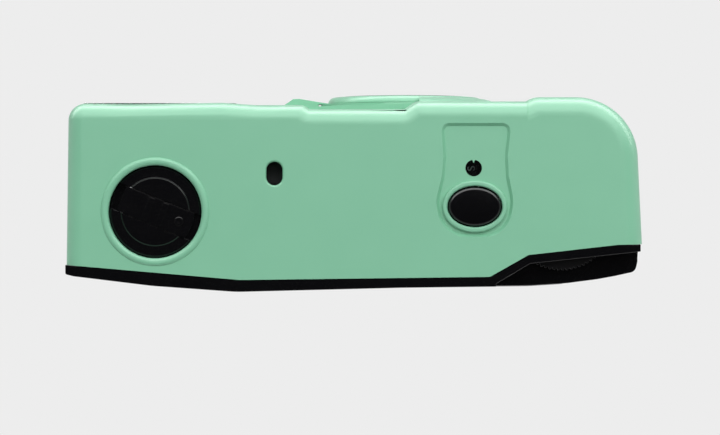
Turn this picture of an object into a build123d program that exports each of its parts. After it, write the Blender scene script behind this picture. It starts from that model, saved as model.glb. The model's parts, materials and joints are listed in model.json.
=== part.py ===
from build123d import *
import math
import os

# Half frame camera. Millimetres, +Z up. The lens looks along -Y, the back door is on +Y,
# and the shutter button is on the -X side, which is the user's right. The origin is the
# centre of the footprint, on the surface that the camera stands on.

# ---- driving dimensions -------------------------------------------------------------
LEFT_X = 55.35
FRONT_LEFT_X = 54.95
RIGHT_X = -55.7
FRONT_RIGHT_X = -54.35
FRONT_Y = -18.85
BACK_Y = 19.6
TOP_Z = 61.0
WALL = 1.6
GAP = 0.15
RUNNING = 0.05
TOP_EDGE_R = 3.2
GRIP_EDGE_R = 3.8
BOTTOM_EDGE_R = 1.2

POD_Y = -16.85
MIDDLE_Y = -16.4
RELEASE_SIDE_Y = -17.1
GRIP_Y = -17.95
GRIP_CORNER_R = 12.0
WINDOW_Y = -15.6
NOTCH_Z = 48.5
FINDER_OPENING = (-8.0, 7.0, -25, -10)
FAIRING_X = -12.9

FILM_Y = 12.5
FILM_Z = 29.0
FILM_HEIGHT = 35.0
GATE_WIDTH = 18.0
GATE_HEIGHT = 24.0
CHANNEL_Y = 12.0

LENS_X = -10.4
LENS_Z = 29.0
RING_R = 15.6
RING_BORE_R = 12.3
RING_LIP_R = 13.6
RING_EDGE_R = 1.3
RING_EDGE_STEPS = 6
RING_Y0 = FRONT_Y
RING_Y1 = -17.5
BOSS_R = 17.0
BOSS_Y = -17.4

REWIND = (38.1, 4.2)
KNOB_R = 8.75
KNOB_HOLE_R = 8.95
KNOB_Z0 = 58.4
KNOB_SHOULDER_Z = 60.35
KNOB_STEP_R = 6.4
KNOB_Z1 = 60.6
BEAD_R = 9.7
BEAD_HALF = 0.75
BEAD_HEIGHT = 0.45
CASSETTE_R = 13.0
CRANK_ANGLE = 22.0
CRANK_WIDTH = 5.0
CRANK_PIVOT = 6.0
CRANK_HEEL = 6.9
CRANK_TIP_R = 7.5
CRANK_RIBS = (-1.4, 1.5)
CRANK_Z0 = 59.5
CRANK_Z1 = 60.7
CRANK_PIN_R = 0.3
CRANK_PIN_Z = 60.0
HANDLE_REACH = 4.9
HANDLE_R = 1.8
HANDLE_STEM_R = 0.9
REWIND_SHAFT_R = 3.3

BUTTON = (-23.3, 3.2)
BUTTON_SIZE = (10.1, 7.4)
BUTTON_HOLE = (10.5, 7.85)
BEZEL_SIZE = (12.5, 10.0)
BUTTON_Z0 = 60.3
BUTTON_Z1 = 62.0
STEM_R = 1.5
SPINDLE_R = 2.0
DISC_POST_R = 1.0
STEM_Z0 = 53.2
RECESS_Z = 60.3
BEZEL_Z = 61.25

COUNTER_WINDOW = (-23.1, -4.2)
COUNTER_WINDOW_R = 1.6
POINTER_Z = 59.95
COUNTER = (-29.6, -5.0)
COUNTER_R = 8.3
COUNTER_Z = 57.8

SLOT = (15.2, -3.15)
SLOT_SIZE = (3.1, 4.5)
INDICATOR = (15.2, -0.2)
INDICATOR_R = 5.0
ROLLER = (14.5, 9.4)
ROLLER_R = 3.0
DRIVE_Z = 57.0

TAKE_UP = (-40.1, 5.2)
TAKE_UP_R = 10.2
SPOOL_R = 4.2
WHEEL_R = 10.3
WHEEL_Z0 = 54.3
WHEEL_Z1 = 57.3
RATCHET_R = 8.5
RATCHET_Z = 55.2
RATCHET_TEETH = 24
WHEEL_TEETH = 76
SERRATION = 0.35

SPROCKET = (-26.0, 6.55)
SPROCKET_R = 5.95
SPROCKET_TEETH = 8
TOOTH_R = 6.9
PERFORATION_Z = 14.09

FLOOR_Z = 4.0
CHASSIS_Z0 = 1.7
DECK_Z = 50.0
LEFT_ROOF_Z = 54.2
RIGHT_ROOF_Z = 53.9
CHASSIS_FRONT_Y = -10.0

DOOR_Z0 = 0.3
DOOR_Z1 = 52.7
HINGE = (-50.4, 14.5)
KNUCKLE_R = 1.5
PIN_R = 0.7
PIN_Z0 = 0.5
PIN_Z1 = 53.6
FRAME_Z0 = 53.0
FRAME_END_X = -55.15

BATTERY = (18.0, -8.5)
BATTERY_R = 5.2
BATTERY_Z0 = 3.4
BATTERY_Z1 = 47.1
BATTERY_HINGE_Y = -14.0
BATTERY_HINGE_Z = 0.95
CAPACITOR = (19.0, 0.9)
CAPACITOR_R = 4.0
READY_LAMP = (9.5, 57.0)
TRIPOD = (LENS_X, 2.0)
TRIPOD_BORE_R = 2.55
TRIPOD_BUSH_R = 6.0
TRIPOD_Z1 = 8.5
SHELL_SCREWS = [(48.8, -7.2), (28.8, -7.6), (-47.8, -6.4), (-31.0, -7.2)]
CHASSIS_SCREWS = [(21.8, 8.0), (21.8, 47.6), (5.5, 6.6), (5.5, 48.0)]

LEVER_Y = -3.0
LEVER_Z = 52.5
LEVER_PIN_R = 0.6
PAWL_PIVOT = (-49.0, -4.4)
PAWL_PIVOT_R = 0.8
BLADE_PIVOT = (-20.4, 37.5)
BLADE_PIVOT_R = 0.8
BLADE_Y0 = -9.5
BLADE_Y1 = -9.2

# Plan of the shell: corner points with their radii, from the rear left round the front.
POD_FRONT = [
    (FRONT_LEFT_X, -16.75, 3.3),
    (43.0, -16.5, 20.0),
    (25.5, -16.85, 8.0),
    (19.0, MIDDLE_Y, 5.0),
]
WINDOW_NOTCH = [
    (9.7, MIDDLE_Y, 2.6),
    (8.5, WINDOW_Y, 0.5),
    (-9.8, WINDOW_Y, 0.5),
    (-12.0, RELEASE_SIDE_Y, 2.6),
]
PLAIN_FRONT = [
    (9.7, MIDDLE_Y, 0.0),
    (-12.0, RELEASE_SIDE_Y, 0.0),
]
MAIN_END = [(FRONT_RIGHT_X, RELEASE_SIDE_Y, 0.0)]
GRIP_X = -33.4
GRIP_FRONT = [
    (-31.0, GRIP_Y, 5.0),
    (FRONT_RIGHT_X, GRIP_Y, GRIP_CORNER_R),
]
SHELL_FRONT = [
    (FRONT_LEFT_X, POD_Y, 3.3),
    (21.8, POD_Y, 3.0),
    (17.6, MIDDLE_Y, 3.0),
    (8.7, MIDDLE_Y, 0.0),
    (-12.2, RELEASE_SIDE_Y, 0.0),
    (-32.5, RELEASE_SIDE_Y, 0.8),
    (-33.6, GRIP_Y, 0.8),
    (FRONT_RIGHT_X, GRIP_Y, GRIP_CORNER_R),
]
SHELL_REAR = [
    (RIGHT_X, 10.45, 0.0),
    (-50.8, 10.55, 0.0),
    (-33.6, 12.5, 1.5),
    (-26.2, 16.7, 1.5),
    (21.8, 17.3, 0.0),
    (LEFT_X, 14.4, 0.0),
]
RECESS = [
    (-17.4, -12.3, 1.0),
    (-29.7, -12.3, 1.0),
    (-29.1, -6.5, 8.0),
    (-29.3, -2.5, 6.0),
    (-30.2, 2.0, 5.0),
    (-29.3, 8.5, 5.0),
    (-17.3, 8.5, 5.0),
    (-16.4, 2.0, 5.0),
    (-17.5, -2.5, 6.0),
    (-17.8, -6.5, 8.0),
]
# Rounded rear outline of the whole camera, from the user's right to the left.
DOOR_OUTLINE = [
    (-47.3, 17.3, 4.0),
    (-41.5, 18.05, 10.0),
    (-34.3, 18.5, 30.0),
    (-9.0, 18.8, 90.0),
    (22.5, BACK_Y, 25.0),
    (38.7, 18.45, 60.0),
    (53.8, 16.6, 1.0),
]
REAR_OUTLINE = [
    (-55.3, 13.2, 1.0),
    (-54.7, 15.8, 1.4),
    (-50.6, 16.7, 8.0),
    *DOOR_OUTLINE,
    (LEFT_X, 16.2, 0.4),
]


# ---- shape helpers ------------------------------------------------------------------
def block(x0, x1, y0, y1, z0, z1):
    """Box between two corners."""
    return Pos((x0 + x1) / 2, (y0 + y1) / 2, (z0 + z1) / 2) * Box(x1 - x0, y1 - y0, z1 - z0)


def post(centre, radius, z0, z1):
    """Upright cylinder."""
    return Pos(centre[0], centre[1], (z0 + z1) / 2) * Cylinder(radius, z1 - z0)


def rod_x(y, z, radius, x0, x1):
    """Cylinder along X."""
    return Pos((x0 + x1) / 2, y, z) * Rot(0, 90, 0) * Cylinder(radius, x1 - x0)


def rod_y(x, z, radius, y0, y1):
    """Cylinder along Y."""
    return Pos(x, (y0 + y1) / 2, z) * Rot(90, 0, 0) * Cylinder(radius, y1 - y0)


def prism(points, z0, z1):
    """Upright prism on a polygon."""
    face = make_face(Polyline(*points, close=True))
    return Pos(0, 0, z0) * extrude(face, amount=z1 - z0, dir=(0, 0, 1))


def rounded_face(corners):
    """Face on a plan outline whose corners are (x, y, radius)."""
    points = [(x, y) for x, y, _ in corners]
    radii = [r for _, _, r in corners]
    return make_face(FilletPolyline(*points, radius=radii, close=True))


def rounded_prism(corners, z0, z1):
    """Upright prism on a plan outline with rounded corners."""
    return Pos(0, 0, z0) * extrude(rounded_face(corners), amount=z1 - z0, dir=(0, 0, 1))


def oval(centre, size, z0, z1):
    """Upright elliptical cylinder."""
    face = Ellipse(size[0] / 2, size[1] / 2)
    return Pos(centre[0], centre[1], z0) * extrude(face, amount=z1 - z0, dir=(0, 0, 1))


def stadium(centre, size, z0, z1):
    """Upright slot shape, longer along Y."""
    width, length = size
    cx, cy = centre
    half = (length - width) / 2
    ends = post((cx, cy - half), width / 2, z0, z1) + post((cx, cy + half), width / 2, z0, z1)
    return ends + block(cx - width / 2, cx + width / 2, cy - half, cy + half, z0, z1)


def hexagon(centre, radius, z0, z1):
    """Upright six-sided prism."""
    face = RegularPolygon(radius, 6)
    return Pos(centre[0], centre[1], z0) * extrude(face, amount=z1 - z0, dir=(0, 0, 1))


def turned_y(x, z, profile):
    """Solid of revolution about the line along Y through (x, z). The profile is (radius, y)."""
    face = make_face(Polyline(*[(r, y) for r, y in profile], close=True))
    solid = revolve(face, Axis.Y, 360)
    return Pos(x, 0, z) * solid


def turned_z(centre, profile):
    """Solid of revolution about an upright line. The profile is (radius, z)."""
    face = make_face(Polyline(*[(r, 0, z) for r, z in profile], close=True))
    return Pos(centre[0], centre[1], 0) * revolve(face, Axis.Z, 360)


def frustum_y(x, z0, size0, y0, z1, size1, y1):
    """Four-sided horn along Y between two upright rectangles."""
    first = Plane(origin=(x, y0, z0), x_dir=(1, 0, 0), z_dir=(0, 1, 0)) * Rectangle(*size0)
    second = Plane(origin=(x, y1, z1), x_dir=(1, 0, 0), z_dir=(0, 1, 0)) * Rectangle(*size1)
    return loft([first, second], ruled=True)


def toothed_plan(tip, root, teeth, tip_share):
    """Closed outline of evenly spaced teeth between a root and a tip radius."""
    points = []
    pitch = 2 * math.pi / teeth
    tooth = ((0.0, root), (0.25, tip), (0.25 + tip_share, tip), (0.5 + tip_share, root))
    for i in range(teeth):
        for share, radius in tooth:
            angle = (i + share) * pitch
            points.append((radius * math.cos(angle), radius * math.sin(angle)))
    return points


def along_crank(reach, across=0.0):
    """Plan point at a reach from the knob's centre towards the crank's pivot."""
    ux = math.cos(math.radians(CRANK_ANGLE))
    uy = -math.sin(math.radians(CRANK_ANGLE))
    return (REWIND[0] + reach * ux - across * uy, REWIND[1] + reach * uy + across * ux)


def crank_bar(start, end, width, z0, z1):
    """Bar along the crank's direction."""
    half = width / 2
    corners = [
        along_crank(start, -half),
        along_crank(end, -half),
        along_crank(end, half),
        along_crank(start, half),
    ]
    return prism(corners, z0, z1)


# ---- casing -------------------------------------------------------------------------
def shell_inside(clearance, z0, z1):
    """Space inside the shell's walls, open to the rear."""
    plan = rounded_face(SHELL_FRONT + SHELL_REAR)
    face = offset(plan, amount=-(WALL + clearance), kind=Kind.INTERSECTION)
    space = extrude(face, amount=z1 - z0, dir=(0, 0, 1))
    open_rear = space
    for shift in (1.6, 3.2, 6.0):
        open_rear = open_rear + Pos(0, shift, 0) * space
    return Pos(0, 0, z0) * open_rear


def edges_at_height(solid, z, limit_x=60.0, limit_y=9.0):
    """Edges lying in the plane at a height, apart from those beyond the limits, such as along the rear."""
    level = [e for e in solid.edges() if abs(e.center().Z - z) < 0.01]
    return [e for e in level if e.center().X < limit_x and e.center().Y < limit_y]


def shell_outer():
    """Outer form of the shell: a main body with the window notch, and the grip with rounder edges."""
    upper = rounded_prism(POD_FRONT + WINDOW_NOTCH + MAIN_END + SHELL_REAR, NOTCH_Z, TOP_Z)
    upper = fillet(edges_at_height(upper, TOP_Z), TOP_EDGE_R)
    lower = rounded_prism(POD_FRONT + PLAIN_FRONT + MAIN_END + SHELL_REAR, 0, NOTCH_Z)
    lower = fillet(edges_at_height(lower, 0), BOTTOM_EDGE_R)
    main = (upper + lower) - block(-60, GRIP_X, -30, 30, -1, TOP_Z + 1)
    grip = rounded_prism(GRIP_FRONT + SHELL_REAR[:3] + [(-31.0, 13.97, 0.0)], 0, TOP_Z)
    grip = grip & block(-60, GRIP_X, -30, 30, -1, TOP_Z + 1)
    grip = fillet(edges_at_height(grip, TOP_Z, GRIP_X - 0.1), GRIP_EDGE_R)
    grip = fillet(edges_at_height(grip, 0, GRIP_X - 0.1), BOTTOM_EDGE_R)
    return main + grip


def fairing():
    """Flared boss on the user's right half of the lens ring, and the ring's flat seat."""
    seat = rod_y(LENS_X, LENS_Z, BOSS_R, BOSS_Y, -15.0)
    profile = [
        (12.0, -15.5), (19.0, -15.5), (19.0, -17.0), (18.4, -17.5), (17.2, -18.2),
        (16.2, -18.45), (15.85, -18.45), (15.85, -17.0), (12.0, -17.0),
    ]
    flare = turned_y(LENS_X, LENS_Z, profile)
    return seat + (flare & block(-40, FAIRING_X, -20, -15, 5, 60))


def front_shell():
    body = shell_outer() + fairing()
    body = body - shell_inside(0.0, WALL, TOP_Z - WALL)
    # recess round the button with sloping sides, and the button's rounded bezel
    recess = Pos(0, 0, RECESS_Z) * extrude(rounded_face(RECESS), amount=1.0, dir=(0, 0, 1), taper=-38)
    body = body - recess
    hole = oval(BUTTON, BUTTON_HOLE, 50, TOP_Z + 5)
    bezel = oval(BUTTON, BEZEL_SIZE, RECESS_Z - 0.8, BEZEL_Z) - hole
    bezel = fillet(edges_at_height(bezel, BEZEL_Z), 0.4)
    body = body - hole + bezel
    # bead round the rewind knob
    body = body - post(REWIND, KNOB_HOLE_R, 50, TOP_Z + 5) + bead()
    # counter window with its pointer, and the film transport slot
    window = post(COUNTER_WINDOW, COUNTER_WINDOW_R, 50, TOP_Z + 5)
    wx, wy = COUNTER_WINDOW
    arrow = [(wx - 0.45, wy - 2.0), (wx + 0.45, wy - 2.0), (wx, wy - 0.95)]
    pointer = prism(arrow, POINTER_Z, TOP_Z + 5)
    body = body - (window - pointer)
    body = body - stadium(SLOT, SLOT_SIZE, 50, TOP_Z + 5)
    level = edges_at_height(body, TOP_Z)
    rim = [e for e in level if math.dist((e.center().X, e.center().Y), SLOT) < SLOT_SIZE[1]]
    body = fillet(rim, 0.45)
    # front openings: lens, finder window and flash window
    body = body - rod_y(LENS_X, LENS_Z, RING_BORE_R + 0.15, -25, -10)
    body = body - block(*FINDER_OPENING, 51.3, 58.3)
    body = body - block(22.7, 52.5, -25, -10, 44.0, 56.0)
    # latch slot in the side wall
    body = body - block(51.0, 58.0, 5.8, 11.2, 22.8, 36.3)
    # bottom openings
    body = body - hexagon(TRIPOD, TRIPOD_BUSH_R, -1, 5)
    body = body - block(9.9, 26.1, -14.9, -1.9, -1, 5)
    body = body - post(SPROCKET, 2.6, -1, 5)
    for spot in SHELL_SCREWS:
        body = body - post(spot, 2.0, -1, 1.1)
        body = body - post(spot, 1.05, -1, 5)
    return body


def bead():
    """Rounded bead round the rewind knob's hole."""
    inner = BEAD_R - BEAD_HALF
    outer = BEAD_R + BEAD_HALF
    crown = ThreePointArc((inner, 0, TOP_Z), (BEAD_R, 0, TOP_Z + BEAD_HEIGHT), (outer, 0, TOP_Z))
    foot = Polyline((outer, 0, TOP_Z), (outer, 0, TOP_Z - 0.6), (inner, 0, TOP_Z - 0.6), (inner, 0, TOP_Z))
    return Pos(REWIND[0], REWIND[1], 0) * revolve(make_face(crown + foot), Axis.Z, 360)


def rear_frame():
    """Black top bar behind the shell: band, thumb pocket, ledge and eyepiece opening."""
    region = rounded_prism(SHELL_REAR[::-1] + REAR_OUTLINE, FRAME_Z0, TOP_Z - 0.15)
    above_ledge = [
        (-27.4, 20.0),
        (-27.4, 18.0),
        (-33.9, 14.15),
        (-55.5, 11.8),
        (-55.5, 20.0),
    ]
    bar = region - prism(above_ledge, FRAME_Z0 + 0.9, TOP_Z + 1)
    bar = bar - block(-60, FRAME_END_X, 0, 20, FRAME_Z0 - 1, TOP_Z + 1)
    bar = bar - post(TAKE_UP, WHEEL_R + 0.3, FRAME_Z0 + 0.9, WHEEL_Z1 + 0.4)
    bar = bar - post(TAKE_UP, 2.4, FRAME_Z0 - 1, FRAME_Z0 + 2)
    bar = bar - block(-5.1, 4.1, 14, 22, 53.9, 58.6)
    bar = bar - rod_y(*READY_LAMP, 1.3, 14, 22)
    bar = bar - post(HINGE, PIN_R, FRAME_Z0 - 1, PIN_Z1)
    return bar


def hinge_spans():
    """Heights of the door's knuckles."""
    return [(6.0, 16.0), (38.0, 48.0)]


def back_door():
    inner = [
        (54.6, 14.65, 0.3),
        (21.8, 17.45, 0.0),
        (-26.0, 16.9, 20.0),
        (-44.0, 15.45, 0.0),
        (-48.6, 14.5, 0.0),
        (-50.4, 14.5, 0.0),
    ]
    outer = [
        (-50.4, 15.97, 0.0),
        *DOOR_OUTLINE,
        (LEFT_X - 0.05, 16.2, 0.4),
        (LEFT_X - 0.05, 14.65, 0.0),
    ]
    door = rounded_prism(inner + outer, DOOR_Z0, DOOR_Z1)
    flange = [(50.5, 12.4), (50.5, 15.1), (21.8, 17.6), (-26.0, 17.0), (-42.0, 15.7), (-42.0, 12.4)]
    for z0, z1 in ((2.2, 3.4), (50.8, 52.0)):
        door = door + prism(flange, z0, z1)
    # clear the fixed knuckles, then add the door's own
    door = door - post(HINGE, KNUCKLE_R + GAP, 0, 60)
    bridge = [(-50.4, 14.6), (-50.4, 15.97), (-47.3, 16.6), (-47.3, 15.0)]
    for z0, z1 in hinge_spans():
        ring = post(HINGE, KNUCKLE_R, z0 + GAP, z1 - GAP)
        door = door + ring + prism(bridge, z0 + GAP, z1 - GAP)
    door = door - post(HINGE, PIN_R + RUNNING, 0, 60)
    # catch lug for the latch, on the free edge
    door = door + block(52.45, 53.0, 12.6, 15.2, 38.0, 41.0)
    return door


def add_roof(body):
    """Block of the chassis with its raised roofs at both ends."""
    body = body + block(23.6, 53, CHASSIS_FRONT_Y, CHANNEL_Y, DECK_Z, LEFT_ROOF_Z)
    body = body + block(-53, -29.5, CHASSIS_FRONT_Y, CHANNEL_Y, DECK_Z, RIGHT_ROOF_Z)
    body = body + post(BATTERY, BATTERY_R + 1.1, CHASSIS_Z0, DECK_Z)
    body = body & shell_inside(GAP, CHASSIS_Z0, LEFT_ROOF_Z)
    return body - block(-54, -29, 10.2, 14, 52.8, 55)


def cut_film_path(body):
    """Cassette chamber, take-up chamber, wells of the sprocket and the film roller, gate and tunnel."""
    take_x, take_y = TAKE_UP
    body = body - post(REWIND, CASSETTE_R, FLOOR_Z, 52.8)
    body = body - block(REWIND[0] - CASSETTE_R, REWIND[0] + CASSETTE_R, REWIND[1], 14, FLOOR_Z, 52.8)
    body = body - post(REWIND, REWIND_SHAFT_R + 1.0, 50, 56)
    body = body - post(TAKE_UP, TAKE_UP_R, FLOOR_Z, 52.5)
    body = body - block(take_x - TAKE_UP_R, SPROCKET[0] + 4.0, take_y + 2.0, 14, FLOOR_Z, 49.0)
    body = body - block(take_x - TAKE_UP_R, take_x + TAKE_UP_R, take_y, 14, FLOOR_Z, 52.5)
    body = body - post(SPROCKET, TOOTH_R + 0.25, FLOOR_Z, 49.0)
    body = body - post(ROLLER, ROLLER_R + 0.3, 8.0, 49.0)
    gate = (GATE_WIDTH, GATE_HEIGHT)
    body = body - frustum_y(LENS_X, LENS_Z, (6.4, 9.0), -11.0, LENS_Z, gate, CHANNEL_Y + 0.01)
    return body - block(-28.5, 9.0, -12, -8.3, 9.0, 52)


def add_film_rails(body):
    """Outer rails that guide the film's edges, and inner rails beside the gate."""
    half = FILM_HEIGHT / 2
    for z0, z1 in ((FILM_Z - half - 2.0, FILM_Z - half), (FILM_Z + half, FILM_Z + half + 1.8)):
        body = body + block(-17.5, 10.0, CHANNEL_Y - 0.5, CHANNEL_Y + 0.9, z0, z1)
    for z0, z1 in ((14.2, 16.2), (41.8, 43.8)):
        body = body + block(-18.0, 9.5, CHANNEL_Y - 0.5, FILM_Y - 0.1, z0, z1)
    return body


def cut_wells_and_bores(body):
    """Battery and capacitor wells, and the bores for spindles and fasteners."""
    body = body - post(BATTERY, BATTERY_R + 0.2, 0, 48.9)
    body = body - block(9.8, 26.2, -16, -1.8, 0, 3.0)
    body = body - post(CAPACITOR, CAPACITOR_R + 0.15, 14.0, 44.0)
    body = body - block(15.0, 23.0, -9.0, CAPACITOR[1], 20.0, 38.0)
    body = body - post(TAKE_UP, SPINDLE_R + RUNNING, 0, 60)
    body = body - post(SPROCKET, STEM_R + RUNNING, 0, 60)
    body = body - post(SPROCKET, 2.6, 0, FLOOR_Z - 0.7)
    body = body - post(ROLLER, 1.2 + RUNNING, 5.0, 60)
    left, right = TRIPOD[0] + TRIPOD_BUSH_R, TRIPOD[0] - TRIPOD_BUSH_R
    body = body - block(right, left, CHASSIS_FRONT_Y - 1, TRIPOD[1] + TRIPOD_BUSH_R, 0, TRIPOD_Z1)
    for spot in SHELL_SCREWS:
        body = body - post(spot, 1.0, 0, 9.0)
    for x, z in CHASSIS_SCREWS:
        body = body - rod_y(x, z, 1.6, 11.0, 13.0)
        body = body - rod_y(x, z, 1.0, 7.0, 13.0)
    return body


def add_deck_fittings(body):
    """Stem guide, lever bearings and pivot posts on the deck and the roof."""
    for x0, x1 in ((-26.4, -25.4), (-21.2, -20.2)):
        body = body + block(x0, x1, 1.6, 4.8, DECK_Z - 0.5, 55.2)
        body = body + block(x0, x1, -4.6, -1.4, DECK_Z - 0.5, 53.9)
    body = body + block(-26.4, -20.2, 1.6, 4.8, 53.7, 55.2)
    body = body - post(BUTTON, STEM_R + RUNNING, 52, 56)
    body = body - rod_x(LEVER_Y, LEVER_Z, LEVER_PIN_R, -27, -20)
    body = body + post(COUNTER, DISC_POST_R, DECK_Z - 0.5, 59.0)
    body = body + post(COUNTER, DISC_POST_R + 1.2, DECK_Z - 0.5, COUNTER_Z - 0.1)
    body = body + post(INDICATOR, DISC_POST_R, DECK_Z - 0.5, DRIVE_Z + 1.2)
    body = body + post(INDICATOR, DISC_POST_R + 1.0, DECK_Z - 0.5, DRIVE_Z - 0.1)
    return body + post(PAWL_PIVOT, PAWL_PIVOT_R, RIGHT_ROOF_Z - 0.5, 55.4)


def add_hinge_column(body):
    """Rear right corner column with the fixed knuckles of the door hinge, and the sill below the door."""
    column = [(-52.0, 10.75), (-55.4, 10.75), (-55.2, 13.9), (-52.0, 13.9)]
    body = body + prism(column, DOOR_Z0, DOOR_Z1)
    sill = [
        (-52.0, 10.75), (-50.8, 10.75), (-33.9, 12.75), (-27.4, 16.4), (-28.0, 16.5),
        (-44.0, 15.1), (-47.4, 14.2), (-48.6, 12.6), (-52.0, 12.6),
    ]
    body = body + prism(sill, DOOR_Z0, 2.1)
    web = [(-52.4, 12.0), (-52.4, 13.9), (-51.2, 15.7), (-49.3, 13.6), (-50.5, 12.0)]
    for z0, z1 in ((DOOR_Z0, 6.0), (16.0, 38.0), (48.0, DOOR_Z1)):
        knuckle = post(HINGE, KNUCKLE_R, z0 + GAP, z1 - GAP)
        body = body + knuckle + prism(web, z0 + GAP, z1 - GAP)
    for z0, z1 in hinge_spans():
        body = body - post(HINGE, KNUCKLE_R + GAP, z0, z1)
    return body - post(HINGE, PIN_R, 0, 60)


def chassis():
    body = add_roof(block(-53, 53, CHASSIS_FRONT_Y, CHANNEL_Y, CHASSIS_Z0, DECK_Z))
    body = add_film_rails(cut_film_path(body))
    body = add_deck_fittings(cut_wells_and_bores(body))
    body = add_hinge_column(body)
    # room for the latch plate beside the cassette chamber
    return body - block(52.35, 54, 0, 14, 12, 43)


def screws(spots, head):
    """Group of identical screws."""
    group = None
    for spot in spots:
        screw = head(spot)
        group = screw if group is None else group + screw
    return group


def shell_screw(spot):
    screw = post(spot, 1.9, 0.15, 1.1) + post(spot, 1.0, 1.1, 8.5)
    slot = block(spot[0] - 1.2, spot[0] + 1.2, spot[1] - 0.2, spot[1] + 0.2, 0, 0.5)
    cross = block(spot[0] - 0.2, spot[0] + 0.2, spot[1] - 1.2, spot[1] + 1.2, 0, 0.5)
    return screw - slot - cross


def chassis_screw(spot):
    x, z = spot
    screw = rod_y(x, z, 1.55, 11.0, 11.9) + rod_y(x, z, 1.0, 7.2, 11.0)
    slot = block(x - 1.1, x + 1.1, 11.5, 12.5, z - 0.2, z + 0.2)
    cross = block(x - 0.2, x + 0.2, 11.5, 12.5, z - 1.1, z + 1.1)
    return screw - slot - cross


# ---- door furniture -----------------------------------------------------------------
def hinge_pin():
    return post(HINGE, PIN_R, PIN_Z0, PIN_Z1)


def pressure_plate():
    plate = block(-23.2, 6.0, 13.1, 13.7, 11.2, 46.8)
    return plate - block(-12.4, -8.4, 13.0, 13.8, 27.0, 31.0)


def pressure_spring():
    strip = [
        (-22.0, 13.8), (-21.0, 13.8), (-10.4, 16.4), (0.2, 13.8), (1.2, 13.8), (-9.6, 16.8), (-11.2, 16.8),
    ]
    return prism(strip, 24.0, 34.0)


def cassette_spring():
    strip = [
        (29.0, 16.6), (34.0, 15.6), (42.0, 14.8), (46.5, 15.0),
        (46.5, 15.3), (42.0, 15.1), (34.0, 15.9), (29.4, 16.7),
    ]
    return prism(strip, 22.0, 36.0)


def door_light_seal():
    return prism([(-46.9, 12.6), (-46.9, 14.6), (-44.4, 15.2), (-44.4, 12.6)], 5.0, 50.0)


def door_latch():
    plate = block(52.4, 52.95, 3.0, 14.0, 16.0, 37.4)
    pad = block(52.9, 54.5, 6.0, 11.0, 26.0, 36.0)
    latch = plate + pad
    for i in range(4):
        z = 28.0 + 2.0 * i
        latch = latch + block(54.4, 54.75, 6.4, 10.6, z - 0.3, z + 0.3)
    return latch


def latch_spring():
    coil = block(52.4, 52.95, 7.4, 9.4, 12.6, 15.9)
    for i in range(4):
        z = 13.0 + 0.8 * i
        coil = coil - block(52.4, 52.7, 7.0, 9.8, z, z + 0.3)
    return coil


# ---- lens and shutter ---------------------------------------------------------------
def lens_barrel():
    profile = [
        (11.6, -18.95), (13.4, -18.95), (13.4, -18.45), (12.2, -18.45), (12.2, -14.7), (14.0, -14.7),
        (14.0, -13.9), (8.2, -13.9), (8.2, -10.3), (4.1, -10.3), (4.1, -11.95), (5.1, -11.95),
        (5.1, -15.4), (9.0, -18.2), (11.0, -18.2),
    ]
    return turned_y(LENS_X, LENS_Z, profile)


def front_lens():
    profile = [(0, -14.6), (2.0, -14.5), (4.0, -14.1), (5.05, -13.7), (5.05, -12.4), (0, -12.4)]
    return turned_y(LENS_X, LENS_Z, profile)


def rear_lens():
    profile = [(0, -11.85), (4.05, -11.85), (4.05, -10.9), (3.0, -10.6), (1.5, -10.4), (0, -10.35)]
    return turned_y(LENS_X, LENS_Z, profile)


def lens_retainer():
    return turned_y(LENS_X, LENS_Z, [(4.2, -14.2), (5.05, -13.75), (5.05, -15.2), (4.2, -15.0)])


def aperture_plate():
    return turned_y(LENS_X, LENS_Z, [(1.15, -12.35), (5.05, -12.35), (5.05, -12.0), (1.15, -12.0)])


def shutter_plate():
    plate = block(-27.0, 4.0, -10.2, -9.7, 16.0, 44.0)
    plate = plate - rod_y(LENS_X, LENS_Z, 3.2, -11, -9)
    return plate + rod_y(*BLADE_PIVOT, BLADE_PIVOT_R, -9.8, -8.95)


def shutter_cover():
    plate = block(-27.0, 4.0, -8.85, -8.4, 16.0, 44.0)
    return plate - rod_y(LENS_X, LENS_Z, 3.2, -11, -7)


def shutter_blade():
    """Thin disc over the lens opening, on an arm from its pivot, with a short tail for the lever."""
    px, pz = BLADE_PIVOT
    reach = math.dist(BLADE_PIVOT, (LENS_X, LENS_Z))
    side = Vector((pz - LENS_Z) / reach, 0, (LENS_X - px) / reach)
    pivot = Vector(px, BLADE_Y0, pz)
    centre = Vector(LENS_X, BLADE_Y0, LENS_Z)
    outline = Polyline(
        pivot + side * 1.4, centre + side * 2.6, centre - side * 2.6, pivot - side * 1.4, close=True
    )
    arm = extrude(make_face(outline), amount=BLADE_Y1 - BLADE_Y0, dir=(0, 1, 0))
    disc = rod_y(LENS_X, LENS_Z, 4.2, BLADE_Y0, BLADE_Y1)
    hub = rod_y(px, pz, 1.8, BLADE_Y0, BLADE_Y1)
    tail = block(px - 4.2, px - 1.0, BLADE_Y0, BLADE_Y1, pz - 0.7, pz + 0.7)
    return disc + hub + arm + tail - rod_y(px, pz, BLADE_PIVOT_R + RUNNING, -11, -8)


def shutter_spring():
    return rod_y(*BLADE_PIVOT, 1.5, -9.15, -8.95) - rod_y(*BLADE_PIVOT, 0.9, -10, -8)


def release_lever():
    bar = block(-24.9, -21.7, -12.2, 2.6, 51.9, 53.1)
    drop = block(-24.9, -21.7, -12.2, -11.0, 45.0, 52.0)
    hub = rod_x(LEVER_Y, LEVER_Z, 1.3, -24.9, -21.7)
    return bar + drop + hub - rod_x(LEVER_Y, LEVER_Z, LEVER_PIN_R + RUNNING, -27, -20)


def lever_pin():
    return rod_x(LEVER_Y, LEVER_Z, LEVER_PIN_R, -26.4, -20.2)


def lever_spring():
    spot = (BUTTON[0], 1.2)
    return post(spot, 1.3, DECK_Z, 51.85) - post(spot, 0.9, DECK_Z - 1, 52)


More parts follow.
